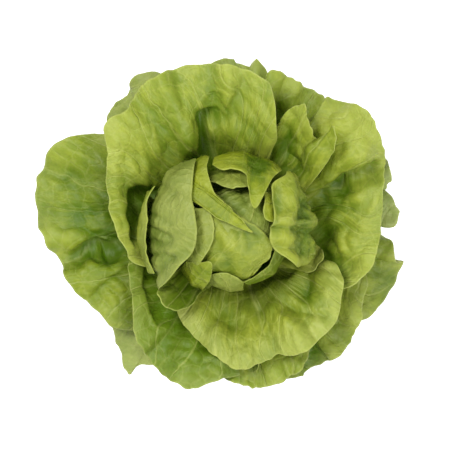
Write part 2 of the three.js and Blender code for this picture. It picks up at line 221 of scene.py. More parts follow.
# Leaves of the heart: radius is the cup's half width, azimuth is the root's place round the stem, and rim
# holds x, y and lift out of the cup.
HEART = [
    dict(name="heart_leaf_outer_left", radius=72.2, azimuth=184,
         rim=[(-60, 34, 0), (-64, 25, 0), (-67.5, 11, 0), (-69, 0, 0), (-68.5, -11, 0), (-65.5, -22, 0),
              (-61, -31, 0)]),
    dict(name="heart_leaf_left", radius=66, azimuth=176,
         rim=[(-30, 55, 0), (-30.5, 43, 2), (-33, 30, 0), (-31, 18, 1), (-28.5, 5, 1), (-29.5, -5, 0),
              (-32, -14, 0), (-40, -24, 2), (-47, -33, 4), (-52.5, -39, 7)]),
    dict(name="heart_leaf_tongue", radius=62, azimuth=140,
         rim=[(-20, 56, 0), (-21.5, 48, 0), (-18, 34, 0), (-15, 27, -1), (-4, 17, -3), (5, 8.5, -4),
              (15, -0.5, -6), (3, 3.5, -5), (-10, 9.5, -4), (-22, 17.5, -2), (-34, 24, -1), (-48, 25, 0)]),
    dict(name="heart_leaf_top", radius=59.4, azimuth=84,
         rim=[(34, 46, 0), (27, 40, 1), (21, 29, 0), (15, 19, -3), (10, 32, -1), (7, 43, 1), (-3, 45.5, 2),
              (-11, 46, 0), (-18, 51, -1)]),
    dict(name="heart_leaf_right", radius=58, azimuth=8,
         rim=[(47, -26, 0), (38, -21, 2), (30, -14, -1), (25, -5, 0), (26, 4, 2), (29, 14, -1), (27, 26, 1),
              (27, 36, 0), (34, 40, 1), (40, 40, 0)]),
    dict(name="heart_leaf_inner_left", radius=46, azimuth=186,
         rim=[(-36, 24, 0), (-28, 17, 2), (-21, 17, 0), (-17, 6, -1), (-18, -8, 0), (-24, -20, 2),
              (-32, -28, 0)]),
    dict(name="heart_leaf_inner_right", radius=45, azimuth=34,
         rim=[(42, 2, 0), (30, 6, 1), (21, 10, 0), (20, 22, 2), (20, 32, 0), (22, 38, 0)]),
    dict(name="heart_leaf_inner_top", radius=48.6, azimuth=100,
         rim=[(16, 40, 0), (10, 36, 0), (0, 37, 1), (-8, 37, 0), (-16, 38, 1), (-22, 38, 0)]),
    dict(name="heart_leaf_lip", radius=50, azimuth=230,
         rim=[(-38, -22, 0), (-28, -22.5, 0), (-18, -22, 1), (-18, -29, 0), (-20, -37, 0)]),
    dict(name="heart_leaf_low", radius=42.5, azimuth=264,
         rim=[(-21, -32, 0), (-13, -30, 1), (-6, -31, 0), (1, -32, 1), (6, -38, 0)]),
    dict(name="heart_leaf_low_right", radius=40.5, azimuth=312,
         rim=[(5, -37, 0), (12, -34, 0), (20, -28.5, 0), (26.5, -21, 0), (29.5, -12, 0), (31, -2, 0)]),
    dict(name="heart_leaf_cap", radius=37, azimuth=236,
         rim=[(-26, 22, 0), (-17, 28, 2), (-9, 22, 2), (-1, 14, 2), (9, 7, 3), (18, 1, 3), (24, -8, 3),
              (24, -16, 2), (16, -28, 1)]),
    dict(name="heart_leaf_core_back", radius=33.5, azimuth=62,
         rim=[(26, -14, 0), (12, -16, 0), (-2, -10, 0), (-10, 0, 0), (-18, 8, 0), (-24, 18, 0)]),
    dict(name="heart_leaf_core", radius=26, azimuth=236,
         rim=[(-18, 12, 0), (-6, 10, 1), (4, 6, 0), (10, -2, 1), (12, -14, 0)]),
]

# How a leaf looks. vein_angle is the angle between two main veins, in degrees. blister, billow, crumple,
# pleat and ruffle are heights of the relief, with the lengths of their waves. scallop is the size of the
# small waves of the outline, and reach is how far the rim stands out past the frame's. pale runs from a
# dark leaf at -1 over a plain one at 0 to the skin of a leaf's back at 1, rim_sheen is a painted sheen
# added to it towards the rim, and core is painted shade that deepens the green inwards.
LOOK = dict(vein_angle=13, blister=1.2, billow=2.0, billow_length=80, crumple=1.5, crumple_length=44,
            pleat=2.4, ruffle=1.4, ruffle_length=34, scallop=0.35, reach=0, pale=0, rim_sheen=0.15, core=0.68)
HEART_LOOK = dict(LOOK, vein_angle=16, blister=0.2, billow=0.5, billow_length=40, crumple=0.5,
                  crumple_length=22, pleat=0.4, ruffle=0.7, ruffle_length=22, scallop=0.2, rim_sheen=0)
OWN_LOOK = {
    "outer_leaf_upper_left_back": dict(pale=0.4),
    "outer_leaf_lower_left_back": dict(pale=0.7),
    "outer_leaf_top_back": dict(pale=0.2, reach=4),
    "outer_leaf_right_back": dict(pale=1.0),
    "outer_leaf_left": dict(pale=-0.25, reach=2.5, blister=1.0),
    "outer_leaf_upper_right": dict(pale=-0.2, blister=0.6, billow=1.0, pleat=0.9, ruffle=0.6, scallop=0.6),
    "leaf_right": dict(pale=-0.2, rim_sheen=0.4, core=0.5),
    "leaf_lower_left": dict(pale=-0.85),
    "leaf_inner_upper_right": dict(pale=-0.25, blister=0.8, billow=0.8, pleat=1.0, ruffle=0.8),
    "leaf_lower_right": dict(pale=-0.45, rim_sheen=0.9, core=0.2, crumple=1.0, pleat=1.4),
    "inner_leaf_lower_left": dict(pale=-0.8, blister=0.6, billow=0.6, pleat=0.8, ruffle=0.8),
    "inner_leaf_lower_right": dict(blister=1.0, billow=0.8, pleat=0.8, ruffle=1.0),
    "heart_leaf_outer_left": dict(pale=0.4, reach=-2.5),
    "heart_leaf_left": dict(pale=0.9, blister=0.1),
    "heart_leaf_tongue": dict(pale=-0.1),
    "heart_leaf_right": dict(pale=0.25, billow=1.4, crumple=1.2),
    "heart_leaf_inner_left": dict(pale=0.7),
    "heart_leaf_inner_top": dict(pale=0.6, reach=-5),
    "heart_leaf_lip": dict(pale=-0.35),
    "heart_leaf_low": dict(pale=0.7),
    # heart_leaf_low_right is painted dark: its deep green stands in for the shade in the gap under the cap.
    "heart_leaf_low_right": dict(pale=-0.7),
    "heart_leaf_cap": dict(pale=0.35, crumple=0.45, crumple_length=26),
    "heart_leaf_core_back": dict(pale=0.8, crumple=0.4),
}

# Soft creases of single leaves, seen from above: a path in plan, depth (less than 0 for a ridge) and width.
CREASES = {
    "outer_leaf_left": [
        ([(-96, 12), (-122, 16), (-146, 22)], 1.5, 5),
        ([(-96, 30), (-118, 44), (-134, 58)], 1.5, 6),
        ([(-110, -22), (-99, -26), (-88, -25)], -3, 5),
        ([(-97, -15), (-94, -20), (-86, -22)], 3, 4)],
    "leaf_right": [
        ([(70, 18), (96, 15)], 1.5, 4),
        ([(60, 0), (72, -14), (84, -22)], 3, 9),
        ([(54, 34), (62, 43), (76, 53), (92, 60)], -4.5, 8)],
    "leaf_lower_left": [
        ([(-30, -58), (-46, -76), (-63, -93)], 3, 5),
        ([(-50, -44), (-60, -60), (-68, -78)], 2, 5),
        ([(-20, -70), (-24, -92), (-22, -110)], 2, 5),
        ([(-36, -66), (-28, -78), (-18, -88)], 3, 8)],
    "leaf_inner_upper_right": [
        ([(58, 84), (56, 68), (58, 56)], -3, 7)],
    "leaf_lower_right": [
        ([(26, -49), (42, -57), (66, -63)], 3.5, 4),
        ([(18, -58), (25, -72), (28, -88)], 3, 4),
        ([(-10, -60), (-15, -66), (-19, -71)], 3, 5),
        ([(53, -24), (54, -36), (50, -46)], 4, 5),
        ([(20, -40), (40, -38), (46, -34)], -5, 6),
        ([(62, -34), (72, -34)], -3, 7),
        ([(42, -56), (54, -70), (60, -80)], 3, 4),
        ([(-4, -68), (-6, -78), (-4, -92)], 2.5, 5),
        ([(-14, -47), (6, -48), (26, -46)], -8, 9),
        ([(8, -62), (12, -76), (12, -94)], -2, 5),
        ([(28, -60), (44, -72)], -2, 5)],
    "leaf_upper_left": [
        ([(-71, 26), (-68, 8)], 3, 9),
        ([(-36, 82), (-38, 62), (-46, 46)], -4, 9),
        ([(-25, 84), (-24, 70), (-20, 54)], 3, 5),
        ([(-20, 84), (-12, 83)], 2, 7),
        ([(-52, 60), (-48, 74), (-56, 92)], 2, 6),
        ([(-8, 88), (2, 104), (6, 114)], 1.5, 4),
        ([(4, 58), (12, 68), (18, 84)], -5, 11),
        ([(-10, 80), (-1, 72), (8, 62)], -4, 8),
        ([(-88, 72), (-90, 40), (-86, 0)], -2, 8)],
    "heart_leaf_left": [
        ([(-66, 5), (-58, 0), (-50, -4)], 3, 2.5),
        ([(-66, -18), (-54, -16), (-48, -20)], 2.6, 2.5),
        ([(-60, -32), (-52, -22), (-46, -18)], 2.4, 3),
        ([(-66, 14), (-58, 12), (-50, 5)], 2, 2.5),
        ([(-64, -6), (-56, -10), (-50, -8)], 2.6, 2.5),
        ([(-56, 36), (-46, 28)], 1.6, 3),
        ([(-50, 44), (-42, 36), (-38, 20)], -1, 4)],
    "heart_leaf_top": [
        ([(-8, 52), (6, 52), (18, 50)], 2, 5)],
    "heart_leaf_right": [
        ([(62, -2), (46, 2), (30, 5)], 5, 4),
        ([(30, 34), (32, 16), (29, 4)], 4, 4),
        ([(40, 38), (44, 18), (38, 8)], -4, 4),
        ([(52, 22), (49, 12), (42, 10)], 3, 3),
        ([(50, -16), (42, -12), (34, -12)], 3, 3),
        ([(40, -4), (37, -12), (42, -20)], -3, 4)],
    "heart_leaf_cap": [
        ([(-14, 16), (-4, 6), (6, 1)], 3, 5),
        ([(-16, -6), (-8, -18), (-4, -30)], 2, 4),
        ([(-9, 13), (-7, 2), (-4, -8)], 2, 2),
        ([(-4, 9), (1, 0), (2, -10)], 2, 2),
        ([(2, 5), (8, -2), (10, -12)], 1.5, 2)],
    "heart_leaf_core_back": [
        ([(-12, 30), (-2, 20), (6, 14)], 1.6, 2.5),
        ([(4, 32), (10, 18)], 1.6, 2.5),
        ([(14, 28), (16, 12)], 1.4, 2.5)],
}

# Sharp folds of single leaves, told in the same way: the leaf falls away on the right of the path.
FOLDS = {
    "outer_leaf_left": [
        ([(-134, -19), (-116, -9), (-104, -7), (-90, -10)], 7, 5),
        ([(-112, -48), (-102, -38), (-90, -30)], 4, 5)],
    "leaf_right": [
        ([(46, 20), (66, 36), (78, 45), (90, 52), (99, 55)], 8.5, 6)],
    "leaf_lower_left": [
        ([(-62, -66), (-69, -52), (-71, -40), (-70, -26)], 6, 7)],
    "leaf_inner_upper_right": [
        ([(52, 92), (46, 76), (46, 63), (49, 55)], 4, 9)],
    "leaf_upper_left": [
        ([(-80, -6), (-82.5, 14), (-81, 24), (-79, 32), (-70, 36), (-60, 34)], 7, 7),
        ([(-8, 90), (-3, 100), (2, 109), (5, 116)], 2.5, 5),
        ([(-24, 98), (-20, 104), (-13, 103)], 2.5, 3),
        ([(-44, 40), (-33, 56), (-30, 66), (-29, 76), (-31, 86)], 7, 4.5),
        ([(-31, 87), (-24, 92), (-14, 92), (-8, 86)], 4, 4)],
}

# Skins of the three kinds of leaf, in colours of 0 to 255 on screen: the fresh and the deep green of the
# upper side, the duller back, the veins, and the light that comes through. The deep green is also laid
# on as painted shade in hollows and towards the root, and the back's colour as a painted sheen at the rim.
SKIN = {
    "outer_leaf": dict(fresh=(162, 174, 46), deep=(86, 115, 1), back=(176, 186, 104), vein=(206, 212, 124),
                       through=(132, 186, 2)),
    "large_leaf": dict(fresh=(174, 184, 58), deep=(88, 118, 0), back=(178, 188, 96), vein=(212, 218, 120),
                       through=(134, 190, 2)),
    "heart_leaf": dict(fresh=(172, 182, 36), deep=(88, 117, 0), back=(158, 169, 80), vein=(204, 210, 108),
                       through=(136, 190, 2)),
}
THROUGH_SHARE = 0.3

# How far colours are dimmed, so that they look right in the light of this studio.
DIMMING = 0.76

# Veins in the skin: the distances from a vein's middle where it begins to fade and is gone, in millimetres,
# or in shares of a cell for the net. The other values say how far the midrib tapers, how much the pattern is
# shaken and how strong the smaller veins are beside the midrib.
MIDRIB = (1.2, 4.2)
MIDRIB_TAPER = 3.2
MAIN_VEIN = (0.1, 1.1)
MAIN_VEIN_SHAKE = 0.35
MAIN_VEIN_SHARE = 0.75
NET_SCALE = 0.075
NET_VEIN = (0, 0.08)
NET_SHAKE = (9, 9, 9)
NET_SHARE = 0.32

# Places of the colour sockets on a Mix node
MIX_FIRST = 6
MIX_SECOND = 7
MIX_RESULT = 2

# The stem: colours of 0 to 255 on screen, and the radii in metres where the browner ring of its cut begins
# and is full.
STEM_FLESH = (226, 230, 196)
STEM_RING = (186, 178, 120)
STEM_FIBRE = (196, 206, 150)
RING_FROM = 0.0105
RING_FULL = 0.0145

# The stage, in metres
FLOOR_HALF = 3
FLOOR_GREY = 0.9
FLOOR_GLOW = 0.4
SURROUND_STRENGTH = 0.55
LAMPS = [
    dict(name="left", place=(-0.6, 0.5, 1.45), size=0.6, power=26),
    dict(name="right", place=(0.6, -0.65, 1.35), size=0.8, power=23),
]

# The camera: the photograph's scale and pixels, the point under it, and its distance from mid height.
PIXEL = 0.00075
PIXELS = 450
VIEW_MIDDLE = (-0.00825, 0.00525)
VIEW_HEIGHT = 0.055
VIEW_DISTANCE = 3.0
VIEW_END = 10
SENSOR_WIDTH = 36


def stem_radius(z):
    """Radius of the stem at a height: it narrows evenly upwards."""
    return STEM_CUT_RADIUS - STEM_TAPER * z


def smooth(low, high, x):
    """0 below low, 1 above high, and a smooth step between."""
    t = np.clip((x - low) / (high - low), 0, 1)
    return t * t * (3 - 2 * t)


def ripple(seed, x, y, length):
    """Smooth noise of about unit size: a sum of plane waves near one length, in seeded random directions."""
    rng = np.random.default_rng(seed)
    turn = rng.uniform(0, 2 * np.pi, WAVES)
    wave = 2 * np.pi / length * rng.uniform(*WAVE_SPREAD, WAVES)
    phase = rng.uniform(0, 2 * np.pi, WAVES)
    across = x[..., None] * (wave * np.cos(turn)) + y[..., None] * (wave * np.sin(turn))
    return np.sin(across + phase).sum(-1) / np.sqrt(WAVES / 2)


def rim_curve(points, count):
    """A smooth curve through the points, at count even steps of its length, and the length run at each step.

    Each stretch is a cubic from b to c. Its slopes there come from the points a and d on either side,
    weighed by gaps that are the square roots of the distances between the points.
    """
    p = np.vstack([2 * points[0] - points[1], points, 2 * points[-1] - points[-2]])
    gap = np.sqrt(np.linalg.norm(np.diff(p, axis=0), axis=1))[:, None]
    t = np.linspace(0, len(points) - 1, CURVE_STEPS)
    i = np.minimum(t.astype(int), len(points) - 2)
    f = (t - i)[:, None]
    a, b, c, d = p[i], p[i + 1], p[i + 2], p[i + 3]
    before, between, after = gap[i], gap[i + 1], gap[i + 2]
    leave = ((b - a) / before - (c - a) / (before + between) + (c - b) / between) * between
    arrive = ((c - b) / between - (d - b) / (between + after) + (d - c) / after) * between
    curve = (b * (2 * f**3 - 3 * f**2 + 1) + leave * (f**3 - 2 * f**2 + f)
             + c * (3 * f**2 - 2 * f**3) + arrive * (f**3 - f**2))
    run = np.concatenate([[0], np.cumsum(np.linalg.norm(np.diff(curve, axis=0), axis=1))])
    even = np.linspace(0, run[-1], count)
    return np.stack([np.interp(even, run, curve[:, k]) for k in range(3)], -1), even


def bowl_height(layer, x, y):
    """Height of a bowl: a step up the stem for each layer, then a smooth rise outwards, more for each layer.

    The sway is a sine round the head that grows with the square of the distance from its middle.
    """
    radius = np.hypot(x, y)
    rise = smooth(BOWL_INNER, BOWL_INNER + BOWL_REACH, radius)
    turn = SWAY_LOBES * (np.arctan2(y, x) - np.radians(SWAY_TURN))
    sway = SWAY_HEIGHT * np.sin(turn) * (radius / SWAY_RADIUS) ** 2
    return BOWL_FLOOR + BOWL_ROOT_STEP * layer + (BOWL_RISE + BOWL_RIM_STEP * layer) * rise + sway


def spreading_surface(leaf, u, v, rim):
    """Straight out in plan from root to rim, at the bowl's height plus the leaf's form and the rim's lift.

    The form grows with the distance from the stem: an arch between root and rim, a valley along the
    midrib and a rim that curls down. The lift fades towards the root.
    """
    side = np.radians(leaf["azimuth"] + ROOT_HALF_ANGLE["spreading"] * (2 * v - 1))
    root = stem_radius(BOWL_FLOOR + BOWL_ROOT_STEP * leaf["layer"]) + ROOT_GAP
    x = root * np.cos(side) * (1 - u) + rim[:, 0] * u
    y = root * np.sin(side) * (1 - u) + rim[:, 1] * u
    turn = np.radians(leaf["midrib"])
    ahead = x * np.cos(turn) + y * np.sin(turn)
    aside = y * np.cos(turn) - x * np.sin(turn)
    form = (leaf["arch"] * 4 * u * (1 - u) - leaf["fold"] * np.exp(-((aside / FOLD_WIDTH) ** 2))
            - leaf["curl"] * u**CURL_POWER)
    form = form * smooth(FORM_FROM, FORM_FULL, np.hypot(x, y))
    z = bowl_height(leaf["layer"], x, y) + form + rim[:, 2] * u**LIFT_POWER
    return np.stack([x, y, z], -1), ahead, aside


def heart_surface(leaf, u, v, rim):
    """Up the outside of a cup from the root, over its belly and in over its dome, to the rim's plan place.

    along is the angle up the cup in the leaf's middle plane, and across is the angle to either side of
    it. The rim's lift moves points straight out from the middle of the cup, and fades towards the root.
    """
    radius = leaf["radius"]
    turn = np.radians(leaf["azimuth"])
    ahead = rim[:, 0] * np.cos(turn) + rim[:, 1] * np.sin(turn)
    aside = rim[:, 1] * np.cos(turn) - rim[:, 0] * np.sin(turn)
    rim_across = np.arcsin(np.clip(aside / radius, -1, 1))
    rim_along = np.pi - np.arcsin(np.clip(ahead / (radius * np.cos(rim_across)), -1, 1))
    along = rim_along * u
    spread = u**HEART_SPREAD
    across = np.radians(ROOT_HALF_ANGLE["heart"]) * (2 * v - 1) * (1 - spread) + rim_across * spread
    root_height = CUP_ROOT_TOP - CUP_ROOT_STEP * radius
    root_radius = stem_radius(root_height) + ROOT_GAP
    dome = CUP_DOME_BASE + CUP_DOME_SHARE * radius
    upper = along > np.pi / 2
    width = np.where(upper, radius, root_radius + (radius - root_radius) * np.sin(along))
    forward = width * np.cos(across) * np.where(upper, np.sin(along), 1)
    sideways = width * np.sin(across)
    height = np.where(upper, CUP_BELLY - dome * np.cos(across) * np.cos(along),
                      root_height + (CUP_BELLY - root_height) * (1 - np.cos(along)))
    point = np.stack([forward * np.cos(turn) - sideways * np.sin(turn),
                      forward * np.sin(turn) + sideways * np.cos(turn), height], -1)
    outward = point - np.array([0, 0, CUP_BELLY])
    outward /= np.linalg.norm(outward, axis=-1, keepdims=True)
    point = point + outward * (rim[:, 2] * u**LIFT_POWER)[..., None]
    return point, along * radius + VEIN_START, across * radius


def leaf_rim(leaf, look, columns, seed):
    """The rim moved out in plan by the leaf's reach and two small waves, which fade to the rim's ends."""
    rim, run = rim_curve(np.array(leaf["rim"], float), columns + 1)
    still = np.zeros_like(run)
    waves = (ripple(seed + DRAW["scallops"], run, still, SCALLOP_LENGTH)
             + ripple(seed + DRAW["long_scallops"], run, still, LONG_SCALLOP_LENGTH))
    push = look["scallop"] * waves + look["reach"]
    fade = 2 * np.minimum(run, run[-1] - run) / run[-1]
    out = rim[:, :2] / np.linalg.norm(rim[:, :2], axis=1, keepdims=True)
    rim[:, :2] += out * (push * fade)[:, None]
    return rim, run


def leaf_grid(leaf, kind, look, seed):
    """A leaf's plain surface, with what its relief and its skin are worked out from at every point.

    u goes from root to rim, and run is the length along the rim. ahead and aside are the leaf's own plan,
    along and across its midrib, and away and angle are the distance and the direction in it. ribs counts
    the main veins, which fan out from the root, by their angle from the midrib, with a slow bend.
    """
    rows, columns = GRID[kind]
    rim, run = leaf_rim(leaf, look, columns, seed)
    u = (1 - (1 - np.linspace(0, 1, rows + 1)) ** ROW_POWER)[:, None]
    v = np.linspace(0, 1, columns + 1)[None, :]
    surface = heart_surface if kind == "heart" else spreading_surface
    points, ahead, aside = surface(leaf, u, v, rim)
    angle = np.degrees(np.arctan2(aside, ahead))
    bend = VEIN_BEND * ripple(seed + DRAW["veins"], ahead, aside, VEIN_BEND_LENGTH)
    return SimpleNamespace(
        points=points, u=np.broadcast_to(u, ahead.shape), run=run, ahead=ahead, aside=aside, angle=angle,
        away=np.hypot(ahead, aside), ribs=angle / look["vein_angle"] + bend)


def blisters(at, look, seed):
    """Swellings between the main veins: a round hump from vein to vein, in patches, calmer at the rim."""
    between = at.ribs - np.floor(at.ribs)
    swell = (4 * between * (1 - between)) ** SWELL_POWER - SWELL_SINK
    patchy = 0.5 + 0.5 * ripple(seed + DRAW["patches"], at.ahead, at.aside, PATCH_LENGTH)
    calm = 1 - BLISTER_CALM * smooth(*RIM, at.u)
    return look["blister"] * smooth(*GROWN, at.u) * calm * swell * np.clip(patchy, 0, PATCH_MOST)


def billows(at, look, seed):
    """Broad soft waves over the whole blade."""
    wave = ripple(seed + DRAW["billows"], at.ahead, at.aside, look["billow_length"])
    return look["billow"] * smooth(*GROWN, at.u) * wave


def wrinkles(at, look, seed):
    """Humps with sharp valleys between them: a noise made positive, plus a finer one, calmer at the rim."""
    length = look["crumple_length"]
    coarse = np.abs(ripple(seed + DRAW["wrinkles"], at.ahead, at.aside, length))
    fine = np.abs(ripple(seed + DRAW["fine_wrinkles"], at.ahead, at.aside, FINE_WRINKLE_LENGTH * length))
    calm = 1 - WRINKLE_CALM * smooth(*RIM, at.u)
    return look["crumple"] * smooth(*GROWN, at.u) * calm * (coarse + FINE_WRINKLE * fine - 1)


def pleats(at, look, seed):
    """Waves from side to side round the root, which change slowly outwards and grow towards the rim."""
    outward = at.away / PLEAT_STRETCH
    wide = ripple(seed + DRAW["pleats"], at.angle, outward, PLEAT_ANGLE)
    narrow = ripple(seed + DRAW["fine_pleats"], at.angle, outward, FINE_PLEAT_ANGLE)
    return look["pleat"] * at.u**PLEAT_POWER * (wide + FINE_PLEAT * narrow)


def ruffles(at, look, seed):
    """A sine along the rim whose phase and size drift, and which dies away inwards from the rim."""
    still = np.zeros_like(at.run)
    drift = RUFFLE_DRIFT * ripple(seed + DRAW["ruffle_drift"], at.run, still, RUFFLE_DRIFT_LENGTH)
    size = 0.5 + 0.5 * ripple(seed + DRAW["ruffle_size"], at.run, still, RUFFLE_SIZE_LENGTH)
    wave = np.sin(2 * np.pi * at.run / look["ruffle_length"] + drift)
    return look["ruffle"] * smooth(*RIM, at.u) ** RUFFLE_POWER * wave * size


def groove(at):
    """A soft channel along the midrib, a bell across it, which runs out towards the rim."""
    across = np.exp(-((at.aside / GROOVE_WIDTH) ** 2))
    return -GROOVE_DEPTH * across * smooth(*GROOVE_GROWN, at.u) * (1 - at.u)


def beside(x, y, path):
    """Where points lie by the nearest stretch of a path: how far to its right, and how far past its ends."""
    near = np.full_like(x, np.inf)
    right = np.zeros_like(x)
    past = np.zeros_like(x)
    for (ax, ay), (bx, by) in zip(path[:-1], path[1:]):
        length = np.hypot(bx - ax, by - ay)
        east, north = (bx - ax) / length, (by - ay) / length
        along = (x - ax) * east + (y - ay) * north
        aside = (x - ax) * north - (y - ay) * east
        over = np.maximum(np.maximum(-along, along - length), 0)
        away = np.hypot(aside, over)
        right = np.where(away < near, aside, right)
        past = np.where(away < near, over, past)
        near = np.minimum(near, away)
    return right, past


def crease(x, y, path, depth, width):
    """A soft valley along a path: its depth falls off with the distance from the path, to either side."""
    right, past = beside(x, y, path)
    return -depth * np.exp(-((np.hypot(right, past) / width) ** CREASE_POWER))


def fold(x, y, path, depth, width):
    """A sharp edge along a path: level to its left, and to its right a sudden fall that fades out.

    The fall is deepest at width from the path, and dies away past the path's ends.
    """
    right, past = beside(x, y, path)
    run = np.maximum(right, 0) / width
    return -depth * run * np.exp(1 - run - (past / width) ** 2)


def own_folds(at, leaf, kind):
    """The sum of a leaf's own creases and sharp folds, on the part of it that is seen from above."""
    x, y = at.points[..., 0], at.points[..., 1]
    total = np.zeros(at.u.shape)
    for shape, lists in ((crease, CREASES), (fold, FOLDS)):
        for path, depth, width in lists.get(leaf["name"], ()):
            total += shape(x, y, path, depth, width)
    window = OVER_THE_CUP if kind == "heart" else GROWN
    return FACE_ABOVE[kind] * smooth(*window, at.u) * total


def normals(points):
    """Unit normals of a grid of points, from the cross product of its two directions."""
    cross = np.cross(np.gradient(points, axis=0), np.gradient(points, axis=1))
    return cross / np.maximum(np.linalg.norm(cross, axis=-1, keepdims=True), TINY)


def quads(a, b, c, d):
    """Faces of four corners each, from four arrays of vertex numbers."""
    return np.stack([a, b, c, d], -1).reshape(-1, 4)


def blade_mesh(name, front, back, attributes):
    """A closed blade from two grids alike: quads on both faces and a strip of quads all round."""
    rows, columns = front.shape[:2]
    shift = rows * columns
    index = np.arange(shift).reshape(rows, columns)
    under = index + shift
    loop = np.concatenate([index[0, :-1], index[:-1, -1], index[-1, :0:-1], index[:0:-1, 0]])
    after = np.roll(loop, -1)
    faces = np.concatenate([
        quads(index[:-1, :-1], index[1:, :-1], index[1:, 1:], index[:-1, 1:]),
        quads(under[:-1, :-1], under[:-1, 1:], under[1:, 1:], under[1:, :-1]),
        quads(loop, after, after + shift, loop + shift)])
    points = np.concatenate([front.reshape(-1, 3), back.reshape(-1, 3)]) * MM
    mesh = bpy.data.meshes.new(name)
    mesh.vertices.add(len(points))
    mesh.vertices.foreach_set("co", points.astype(np.float32).ravel())
    mesh.loops.add(faces.size)
    mesh.loops.foreach_set("vertex_index", faces.astype(np.int32).ravel())
    mesh.polygons.add(len(faces))
    mesh.polygons.foreach_set("loop_start", np.arange(0, faces.size, 4, dtype=np.int32))
    mesh.polygons.foreach_set("use_smooth", np.arange(len(faces)) < len(faces) - len(loop))
    for key, grids in attributes.items():
        values = np.concatenate([grid.reshape(-1, 3) for grid in grids]).astype(np.float32)
        mesh.attributes.new(key, "FLOAT_VECTOR", "POINT").data.foreach_set("vector", values.ravel())
    mesh.update(calc_edges=True)
    mesh.validate()
    return mesh


def skin_attributes(at, kind, look, height, seed):
    """What a leaf's skin is painted by, on the front and on the back of its blade.

    flat is the leaf's own plan, with a third number that sets one leaf's pattern apart from the next
    one's. ribs holds the count of main veins, the distance from the root and u. look holds the shade,
    with a painted sheen added towards the rim, 1 where veins are sunk or -1 where they stand out, and
    the painted shade that is laid on as a deeper green: more towards the root, and more in hollows.
    """
    # Painted shade: a deeper green in hollows and towards the root.
    hollow_shade = np.clip(-FACE_ABOVE[kind] * height / HOLLOW_SHADE_FULL[kind], 0, 1)
    green = look["core"] * (1 - smooth(*CORE_SHADE_FADE, at.u)) + HOLLOW_SHADE_SHARE * hollow_shade
    # Painted sheen: the shade on the side seen from above grows paler towards the rim.
    above = look["pale"] + look["rim_sheen"] * smooth(*SHEEN_GROWN, at.u)
    ones = np.ones(at.u.shape)
    below = above if kind == "heart" else ones
    flat = np.stack([at.ahead, at.aside, PATTERN_STEP * seed * ones], -1)
    ribs = np.stack([at.ribs, at.away, at.u], -1)
    looks = [np.stack([above, ones, green], -1), np.stack([below, -ones, green], -1)]
    return {"flat": [flat, flat], "ribs": [ribs, ribs], "look": looks}


def leaf_piece(leaf, kind, look, material, seed):
    """A leaf: its plain surface moved along its normals by its relief, then thickened to both sides.

    The blade is thickest at its root, and a keel under the midrib runs out towards the rim.
    """
    at = leaf_grid(leaf, kind, look, seed)
    height = (blisters(at, look, seed) + billows(at, look, seed) + wrinkles(at, look, seed)
              + pleats(at, look, seed) + ruffles(at, look, seed) + groove(at) + own_folds(at, leaf, kind))
    points = at.points + normals(at.points) * height[..., None]
    normal = normals(points)
    half = 0.5 * (RIM_THICKNESS + ROOT_EXTRA * (1 - at.u) ** 2)
    keel = KEEL_DEPTH * np.exp(-((at.aside / KEEL_WIDTH) ** 2)) * (1 - at.u) * smooth(*KEEL_GROWN, at.u)
    front = points + normal * half[..., None]
    back = points - normal * (half + keel)[..., None]
    mesh = blade_mesh(leaf["name"], front, back, skin_attributes(at, kind, look, height, seed))
    mesh.materials.append(material)
    piece = bpy.data.objects.new("fine_" + leaf["name"], mesh)
    bpy.context.scene.collection.objects.link(piece)
    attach(piece, "root")
    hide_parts(leaf["name"])


class Number:
    """A number in a material. Each operator adds one Math node."""

    def __init__(self, paint, socket):
        self.paint = paint
        self.socket = socket

    def __add__(self, other):
        return self.paint.math("ADD", self, other)

    def __sub__(self, other):
        return self.paint.math("SUBTRACT", self, other)

    def __rsub__(self, other):
        return self.paint.math("SUBTRACT", other, self)

    def __mul__(self, other):
        return self.paint.math("MULTIPLY", self, other)

    def __abs__(self):
        return self.paint.math("ABSOLUTE", self)

    __radd__ = __add__
    __rmul__ = __mul__


